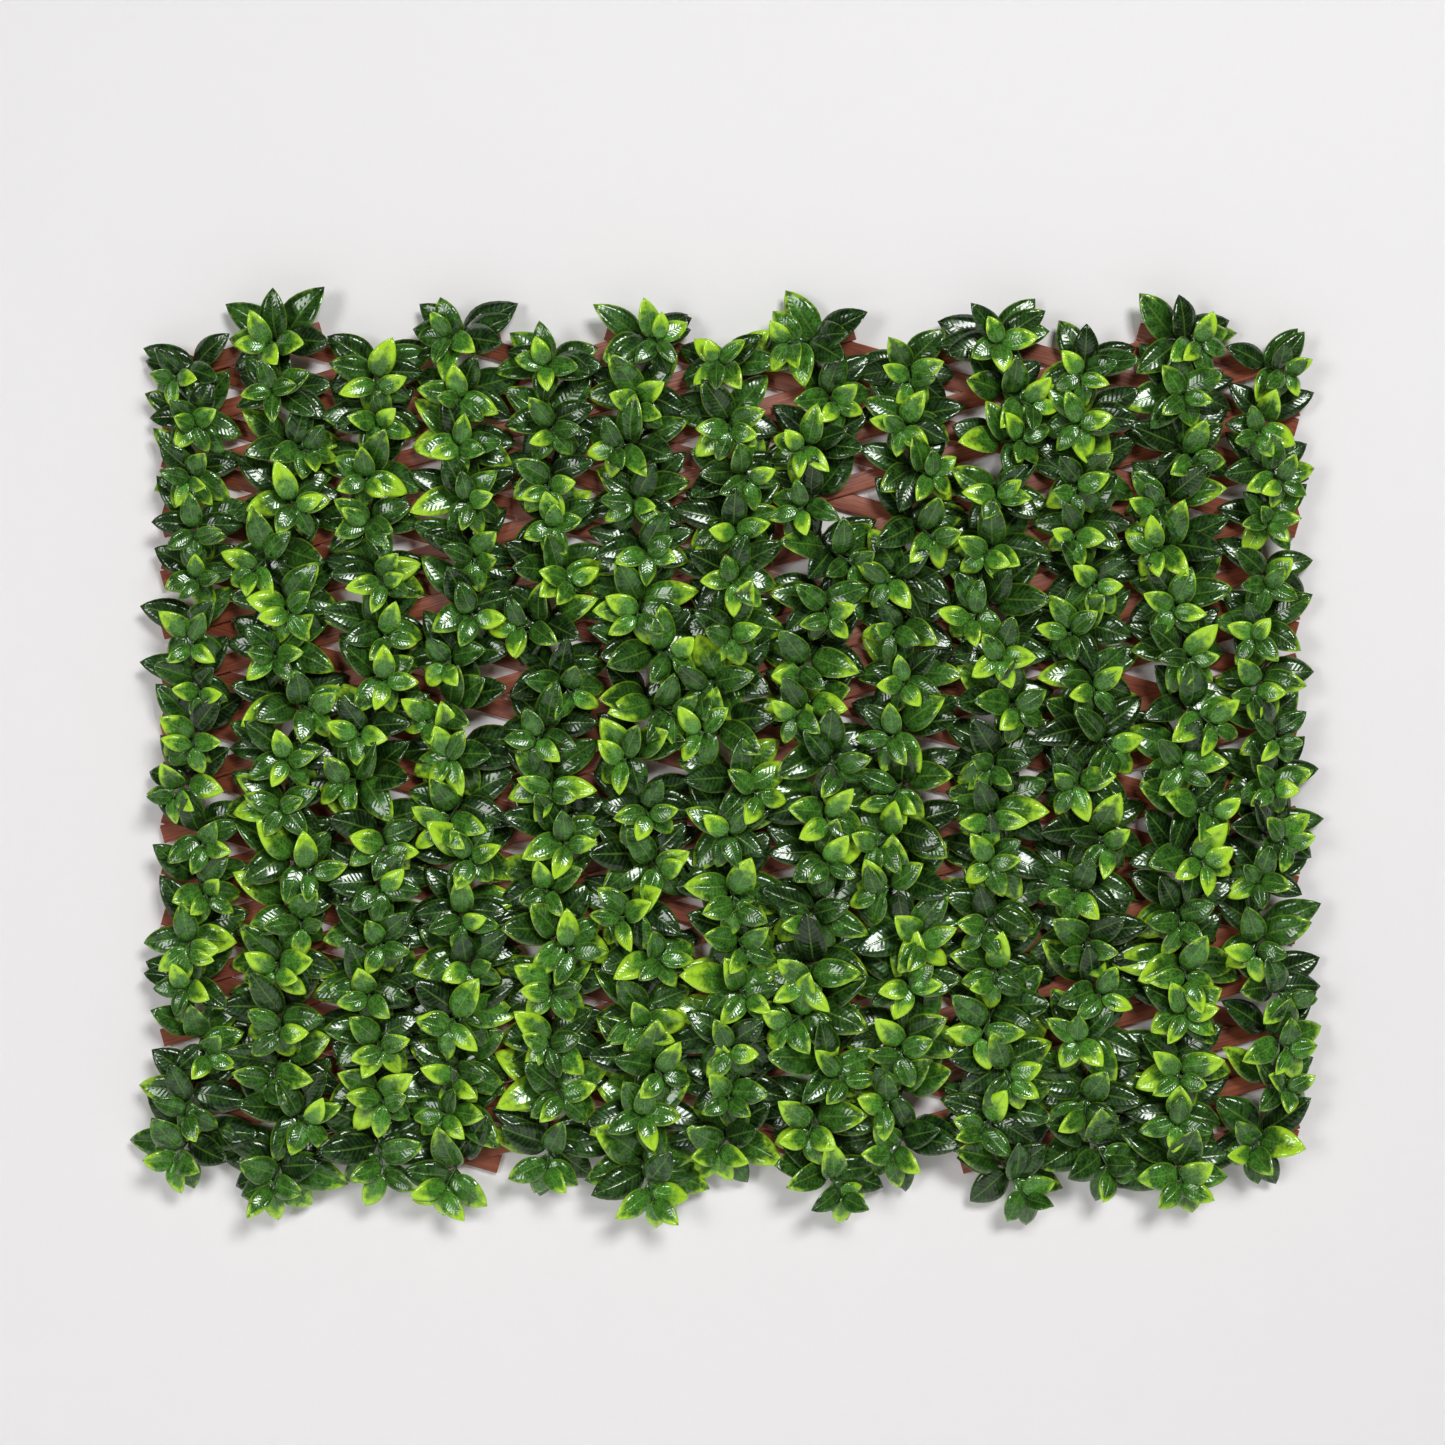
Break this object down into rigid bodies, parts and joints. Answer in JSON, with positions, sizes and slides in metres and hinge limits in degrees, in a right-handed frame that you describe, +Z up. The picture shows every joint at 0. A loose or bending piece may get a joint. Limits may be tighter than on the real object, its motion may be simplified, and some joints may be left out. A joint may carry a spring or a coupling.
{
  "type": "expandable privacy panel",
  "caption": "Wall-hung folding lattice of crossed plastic slats, pinned at every crossing and covered with glossy artificial leaf sprigs.",
  "frame": {"origin": "centre of the centre pin's rear head, on the wall plane", "axes": "+Z up, +X to the right seen from the front, +Y into the wall"},
  "size_m": [1.215, 0.0616, 0.9538],
  "materials": {
    "slat_plastic": "fine grain, low sheen",
    "leaf_plastic": "glossy, yellow green at the tips",
    "stem_plastic": "moulded, satin"
  },
  "bodies": {
    "centre_pin": {"centre_pin": "stem_plastic"},
    "rising_slat_11": {"rising_slat_11": "leaf_plastic"},
    "falling_slat_11": {"falling_slat_11": "slat_plastic"},
    "falling_slat_17": {"falling_slat_17": "slat_plastic"},
    "falling_slat_16": {"falling_slat_16": "slat_plastic"},
    "falling_slat_15": {"falling_slat_15": "slat_plastic"},
    "falling_slat_14": {"falling_slat_14": "slat_plastic"},
    "falling_slat_13": {"falling_slat_13": "slat_plastic"},
    "falling_slat_12": {"falling_slat_12": "slat_plastic"},
    "falling_slat_10": {"falling_slat_10": "slat_plastic"},
    "falling_slat_09": {"falling_slat_09": "slat_plastic"},
    "falling_slat_08": {"falling_slat_08": "slat_plastic"},
    "falling_slat_07": {"falling_slat_07": "slat_plastic"},
    "falling_slat_06": {"falling_slat_06": "slat_plastic"},
    "falling_slat_05": {"falling_slat_05": "slat_plastic"},
    "rising_slat_05": {"rising_slat_05": "leaf_plastic"},
    "rising_slat_06": {"rising_slat_06": "leaf_plastic"},
    "rising_slat_07": {"rising_slat_07": "leaf_plastic"},
    "rising_slat_08": {"rising_slat_08": "leaf_plastic"},
    "rising_slat_09": {"rising_slat_09": "leaf_plastic"},
    "rising_slat_10": {"rising_slat_10": "leaf_plastic"},
    "rising_slat_12": {"rising_slat_12": "leaf_plastic"},
    "rising_slat_13": {"rising_slat_13": "leaf_plastic"},
    "rising_slat_14": {"rising_slat_14": "leaf_plastic"},
    "rising_slat_15": {"rising_slat_15": "leaf_plastic"},
    "rising_slat_16": {"rising_slat_16": "leaf_plastic"},
    "rising_slat_17": {"rising_slat_17": "leaf_plastic"},
    "rising_slat_18": {"rising_slat_18": "leaf_plastic"},
    "rising_slat_19": {"rising_slat_19": "leaf_plastic"},
    "rising_slat_20": {"rising_slat_20": "leaf_plastic"},
    "rising_slat_21": {"rising_slat_21": "leaf_plastic"},
    "rising_slat_22": {"rising_slat_22": "leaf_plastic"},
    "rising_slat_04": {"rising_slat_04": "leaf_plastic"},
    "rising_slat_03": {"rising_slat_03": "leaf_plastic"},
    "rising_slat_02": {"rising_slat_02": "leaf_plastic"},
    "rising_slat_01": {"rising_slat_01": "leaf_plastic"},
    "falling_slat_04": {"falling_slat_04": "slat_plastic"},
    "falling_slat_03": {"falling_slat_03": "slat_plastic"},
    "falling_slat_02": {"falling_slat_02": "slat_plastic"},
    "falling_slat_01": {"falling_slat_01": "slat_plastic"},
    "falling_slat_18": {"falling_slat_18": "slat_plastic"},
    "falling_slat_19": {"falling_slat_19": "slat_plastic"},
    "falling_slat_20": {"falling_slat_20": "slat_plastic"},
    "falling_slat_21": {"falling_slat_21": "slat_plastic"},
    "falling_slat_22": {"falling_slat_22": "slat_plastic"}
  },
  "joints": [
    {"name": "panel_fold", "type": "hinge", "parent": "centre_pin", "child": "rising_slat_11", "pos_m": [0, -0.0053, 0], "axis": [0, -1, 0], "range_deg": [-6, 64]},
    {"name": "pivot_falling_slat_11", "type": "hinge", "parent": "centre_pin", "child": "falling_slat_11", "pos_m": [0, -0.0053, 0], "axis": [0, -1, 0], "range_deg": [-64, 6]},
    {"name": "pivot_falling_slat_17", "type": "hinge", "parent": "rising_slat_11", "child": "falling_slat_17", "pos_m": [-0.5537, -0.0053, -0.15877], "axis": [0, -1, 0], "range_deg": [-128, 12]},
    {"name": "pivot_falling_slat_16", "type": "hinge", "parent": "rising_slat_11", "child": "falling_slat_16", "pos_m": [-0.46142, -0.0053, -0.13231], "axis": [0, -1, 0], "range_deg": [-128, 12]},
    {"name": "pivot_falling_slat_15", "type": "hinge", "parent": "rising_slat_11", "child": "falling_slat_15", "pos_m": [-0.36913, -0.0053, -0.10585], "axis": [0, -1, 0], "range_deg": [-128, 12]},
    {"name": "pivot_falling_slat_14", "type": "hinge", "parent": "rising_slat_11", "child": "falling_slat_14", "pos_m": [-0.27685, -0.0053, -0.07939], "axis": [0, -1, 0], "range_deg": [-128, 12]},
    {"name": "pivot_falling_slat_13", "type": "hinge", "parent": "rising_slat_11", "child": "falling_slat_13", "pos_m": [-0.18457, -0.0053, -0.05292], "axis": [0, -1, 0], "range_deg": [-128, 12]},
    {"name": "pivot_falling_slat_12", "type": "hinge", "parent": "rising_slat_11", "child": "falling_slat_12", "pos_m": [-0.09228, -0.0053, -0.02646], "axis": [0, -1, 0], "range_deg": [-128, 12]},
    {"name": "pivot_falling_slat_10", "type": "hinge", "parent": "rising_slat_11", "child": "falling_slat_10", "pos_m": [0.09228, -0.0053, 0.02646], "axis": [0, -1, 0], "range_deg": [-128, 12]},
    {"name": "pivot_falling_slat_09", "type": "hinge", "parent": "rising_slat_11", "child": "falling_slat_09", "pos_m": [0.18457, -0.0053, 0.05292], "axis": [0, -1, 0], "range_deg": [-128, 12]},
    {"name": "pivot_falling_slat_08", "type": "hinge", "parent": "rising_slat_11", "child": "falling_slat_08", "pos_m": [0.27685, -0.0053, 0.07939], "axis": [0, -1, 0], "range_deg": [-128, 12]},
    {"name": "pivot_falling_slat_07", "type": "hinge", "parent": "rising_slat_11", "child": "falling_slat_07", "pos_m": [0.36913, -0.0053, 0.10585], "axis": [0, -1, 0], "range_deg": [-128, 12]},
    {"name": "pivot_falling_slat_06", "type": "hinge", "parent": "rising_slat_11", "child": "falling_slat_06", "pos_m": [0.46142, -0.0053, 0.13231], "axis": [0, -1, 0], "range_deg": [-128, 12]},
    {"name": "pivot_falling_slat_05", "type": "hinge", "parent": "rising_slat_11", "child": "falling_slat_05", "pos_m": [0.5537, -0.0053, 0.15877], "axis": [0, -1, 0], "range_deg": [-128, 12]},
    {"name": "pivot_rising_slat_05", "type": "hinge", "parent": "falling_slat_11", "child": "rising_slat_05", "pos_m": [-0.5537, -0.0053, 0.15877], "axis": [0, -1, 0], "range_deg": [-12, 128]},
    {"name": "pivot_rising_slat_06", "type": "hinge", "parent": "falling_slat_11", "child": "rising_slat_06", "pos_m": [-0.46142, -0.0053, 0.13231], "axis": [0, -1, 0], "range_deg": [-12, 128]},
    {"name": "pivot_rising_slat_07", "type": "hinge", "parent": "falling_slat_11", "child": "rising_slat_07", "pos_m": [-0.36913, -0.0053, 0.10585], "axis": [0, -1, 0], "range_deg": [-12, 128]},
    {"name": "pivot_rising_slat_08", "type": "hinge", "parent": "falling_slat_11", "child": "rising_slat_08", "pos_m": [-0.27685, -0.0053, 0.07939], "axis": [0, -1, 0], "range_deg": [-12, 128]},
    {"name": "pivot_rising_slat_09", "type": "hinge", "parent": "falling_slat_11", "child": "rising_slat_09", "pos_m": [-0.18457, -0.0053, 0.05292], "axis": [0, -1, 0], "range_deg": [-12, 128]},
    {"name": "pivot_rising_slat_10", "type": "hinge", "parent": "falling_slat_11", "child": "rising_slat_10", "pos_m": [-0.09228, -0.0053, 0.02646], "axis": [0, -1, 0], "range_deg": [-12, 128]},
    {"name": "pivot_rising_slat_12", "type": "hinge", "parent": "falling_slat_11", "child": "rising_slat_12", "pos_m": [0.09228, -0.0053, -0.02646], "axis": [0, -1, 0], "range_deg": [-12, 128]},
    {"name": "pivot_rising_slat_13", "type": "hinge", "parent": "falling_slat_11", "child": "rising_slat_13", "pos_m": [0.18457, -0.0053, -0.05292], "axis": [0, -1, 0], "range_deg": [-12, 128]},
    {"name": "pivot_rising_slat_14", "type": "hinge", "parent": "falling_slat_11", "child": "rising_slat_14", "pos_m": [0.27685, -0.0053, -0.07939], "axis": [0, -1, 0], "range_deg": [-12, 128]},
    {"name": "pivot_rising_slat_15", "type": "hinge", "parent": "falling_slat_11", "child": "rising_slat_15", "pos_m": [0.36913, -0.0053, -0.10585], "axis": [0, -1, 0], "range_deg": [-12, 128]},
    {"name": "pivot_rising_slat_16", "type": "hinge", "parent": "falling_slat_11", "child": "rising_slat_16", "pos_m": [0.46142, -0.0053, -0.13231], "axis": [0, -1, 0], "range_deg": [-12, 128]},
    {"name": "pivot_rising_slat_17", "type": "hinge", "parent": "falling_slat_11", "child": "rising_slat_17", "pos_m": [0.5537, -0.0053, -0.15877], "axis": [0, -1, 0], "range_deg": [-12, 128]},
    {"name": "pivot_rising_slat_18", "type": "hinge", "parent": "falling_slat_17", "child": "rising_slat_18", "pos_m": [0.09228, -0.0053, -0.34401], "axis": [0, -1, 0], "range_deg": [-12, 128]},
    {"name": "pivot_rising_slat_19", "type": "hinge", "parent": "falling_slat_17", "child": "rising_slat_19", "pos_m": [0.18457, -0.0053, -0.37047], "axis": [0, -1, 0], "range_deg": [-12, 128]},
    {"name": "pivot_rising_slat_20", "type": "hinge", "parent": "falling_slat_17", "child": "rising_slat_20", "pos_m": [0.27685, -0.0053, -0.39694], "axis": [0, -1, 0], "range_deg": [-12, 128]},
    {"name": "pivot_rising_slat_21", "type": "hinge", "parent": "falling_slat_17", "child": "rising_slat_21", "pos_m": [0.36913, -0.0053, -0.4234], "axis": [0, -1, 0], "range_deg": [-12, 128]},
    {"name": "pivot_rising_slat_22", "type": "hinge", "parent": "falling_slat_17", "child": "rising_slat_22", "pos_m": [0.46142, -0.0053, -0.44986], "axis": [0, -1, 0], "range_deg": [-12, 128]},
    {"name": "pivot_rising_slat_04", "type": "hinge", "parent": "falling_slat_10", "child": "rising_slat_04", "pos_m": [-0.5537, -0.0053, 0.2117], "axis": [0, -1, 0], "range_deg": [-12, 128]},
    {"name": "pivot_rising_slat_03", "type": "hinge", "parent": "falling_slat_09", "child": "rising_slat_03", "pos_m": [-0.5537, -0.0053, 0.26462], "axis": [0, -1, 0], "range_deg": [-12, 128]},
    {"name": "pivot_rising_slat_02", "type": "hinge", "parent": "falling_slat_08", "child": "rising_slat_02", "pos_m": [-0.5537, -0.0053, 0.31755], "axis": [0, -1, 0], "range_deg": [-12, 128]},
    {"name": "pivot_rising_slat_01", "type": "hinge", "parent": "falling_slat_07", "child": "rising_slat_01", "pos_m": [-0.5537, -0.0053, 0.37047], "axis": [0, -1, 0], "range_deg": [-12, 128]},
    {"name": "pivot_falling_slat_04", "type": "hinge", "parent": "rising_slat_05", "child": "falling_slat_04", "pos_m": [0.09228, -0.0053, 0.34401], "axis": [0, -1, 0], "range_deg": [-128, 12]},
    {"name": "pivot_falling_slat_03", "type": "hinge", "parent": "rising_slat_05", "child": "falling_slat_03", "pos_m": [0.18457, -0.0053, 0.37047], "axis": [0, -1, 0], "range_deg": [-128, 12]},
    {"name": "pivot_falling_slat_02", "type": "hinge", "parent": "rising_slat_05", "child": "falling_slat_02", "pos_m": [0.27685, -0.0053, 0.39694], "axis": [0, -1, 0], "range_deg": [-128, 12]},
    {"name": "pivot_falling_slat_01", "type": "hinge", "parent": "rising_slat_06", "child": "falling_slat_01", "pos_m": [0.46142, -0.0053, 0.39694], "axis": [0, -1, 0], "range_deg": [-128, 12]},
    {"name": "pivot_falling_slat_18", "type": "hinge", "parent": "rising_slat_12", "child": "falling_slat_18", "pos_m": [-0.5537, -0.0053, -0.2117], "axis": [0, -1, 0], "range_deg": [-128, 12]},
    {"name": "pivot_falling_slat_19", "type": "hinge", "parent": "rising_slat_13", "child": "falling_slat_19", "pos_m": [-0.5537, -0.0053, -0.26462], "axis": [0, -1, 0], "range_deg": [-128, 12]},
    {"name": "pivot_falling_slat_20", "type": "hinge", "parent": "rising_slat_14", "child": "falling_slat_20", "pos_m": [-0.5537, -0.0053, -0.31755], "axis": [0, -1, 0], "range_deg": [-128, 12]},
    {"name": "pivot_falling_slat_21", "type": "hinge", "parent": "rising_slat_15", "child": "falling_slat_21", "pos_m": [-0.5537, -0.0053, -0.37047], "axis": [0, -1, 0], "range_deg": [-128, 12]},
    {"name": "pivot_falling_slat_22", "type": "hinge", "parent": "rising_slat_16", "child": "falling_slat_22", "pos_m": [-0.5537, -0.0053, -0.4234], "axis": [0, -1, 0], "range_deg": [-128, 12]}
  ],
  "couplings": [
    {"joint": "pivot_falling_slat_11", "follows": "panel_fold", "ratio": -1},
    {"joint": "pivot_falling_slat_17", "follows": "panel_fold", "ratio": -2},
    {"joint": "pivot_falling_slat_16", "follows": "panel_fold", "ratio": -2},
    {"joint": "pivot_falling_slat_15", "follows": "panel_fold", "ratio": -2},
    {"joint": "pivot_falling_slat_14", "follows": "panel_fold", "ratio": -2},
    {"joint": "pivot_falling_slat_13", "follows": "panel_fold", "ratio": -2},
    {"joint": "pivot_falling_slat_12", "follows": "panel_fold", "ratio": -2},
    {"joint": "pivot_falling_slat_10", "follows": "panel_fold", "ratio": -2},
    {"joint": "pivot_falling_slat_09", "follows": "panel_fold", "ratio": -2},
    {"joint": "pivot_falling_slat_08", "follows": "panel_fold", "ratio": -2},
    {"joint": "pivot_falling_slat_07", "follows": "panel_fold", "ratio": -2},
    {"joint": "pivot_falling_slat_06", "follows": "panel_fold", "ratio": -2},
    {"joint": "pivot_falling_slat_05", "follows": "panel_fold", "ratio": -2},
    {"joint": "pivot_rising_slat_05", "follows": "panel_fold", "ratio": 2},
    {"joint": "pivot_rising_slat_06", "follows": "panel_fold", "ratio": 2},
    {"joint": "pivot_rising_slat_07", "follows": "panel_fold", "ratio": 2},
    {"joint": "pivot_rising_slat_08", "follows": "panel_fold", "ratio": 2},
    {"joint": "pivot_rising_slat_09", "follows": "panel_fold", "ratio": 2},
    {"joint": "pivot_rising_slat_10", "follows": "panel_fold", "ratio": 2},
    {"joint": "pivot_rising_slat_12", "follows": "panel_fold", "ratio": 2},
    {"joint": "pivot_rising_slat_13", "follows": "panel_fold", "ratio": 2},
    {"joint": "pivot_rising_slat_14", "follows": "panel_fold", "ratio": 2},
    {"joint": "pivot_rising_slat_15", "follows": "panel_fold", "ratio": 2},
    {"joint": "pivot_rising_slat_16", "follows": "panel_fold", "ratio": 2},
    {"joint": "pivot_rising_slat_17", "follows": "panel_fold", "ratio": 2},
    {"joint": "pivot_rising_slat_18", "follows": "panel_fold", "ratio": 2},
    {"joint": "pivot_rising_slat_19", "follows": "panel_fold", "ratio": 2},
    {"joint": "pivot_rising_slat_20", "follows": "panel_fold", "ratio": 2},
    {"joint": "pivot_rising_slat_21", "follows": "panel_fold", "ratio": 2},
    {"joint": "pivot_rising_slat_22", "follows": "panel_fold", "ratio": 2},
    {"joint": "pivot_rising_slat_04", "follows": "panel_fold", "ratio": 2},
    {"joint": "pivot_rising_slat_03", "follows": "panel_fold", "ratio": 2},
    {"joint": "pivot_rising_slat_02", "follows": "panel_fold", "ratio": 2},
    {"joint": "pivot_rising_slat_01", "follows": "panel_fold", "ratio": 2},
    {"joint": "pivot_falling_slat_04", "follows": "panel_fold", "ratio": -2},
    {"joint": "pivot_falling_slat_03", "follows": "panel_fold", "ratio": -2},
    {"joint": "pivot_falling_slat_02", "follows": "panel_fold", "ratio": -2},
    {"joint": "pivot_falling_slat_01", "follows": "panel_fold", "ratio": -2},
    {"joint": "pivot_falling_slat_18", "follows": "panel_fold", "ratio": -2},
    {"joint": "pivot_falling_slat_19", "follows": "panel_fold", "ratio": -2},
    {"joint": "pivot_falling_slat_20", "follows": "panel_fold", "ratio": -2},
    {"joint": "pivot_falling_slat_21", "follows": "panel_fold", "ratio": -2},
    {"joint": "pivot_falling_slat_22", "follows": "panel_fold", "ratio": -2}
  ]
}
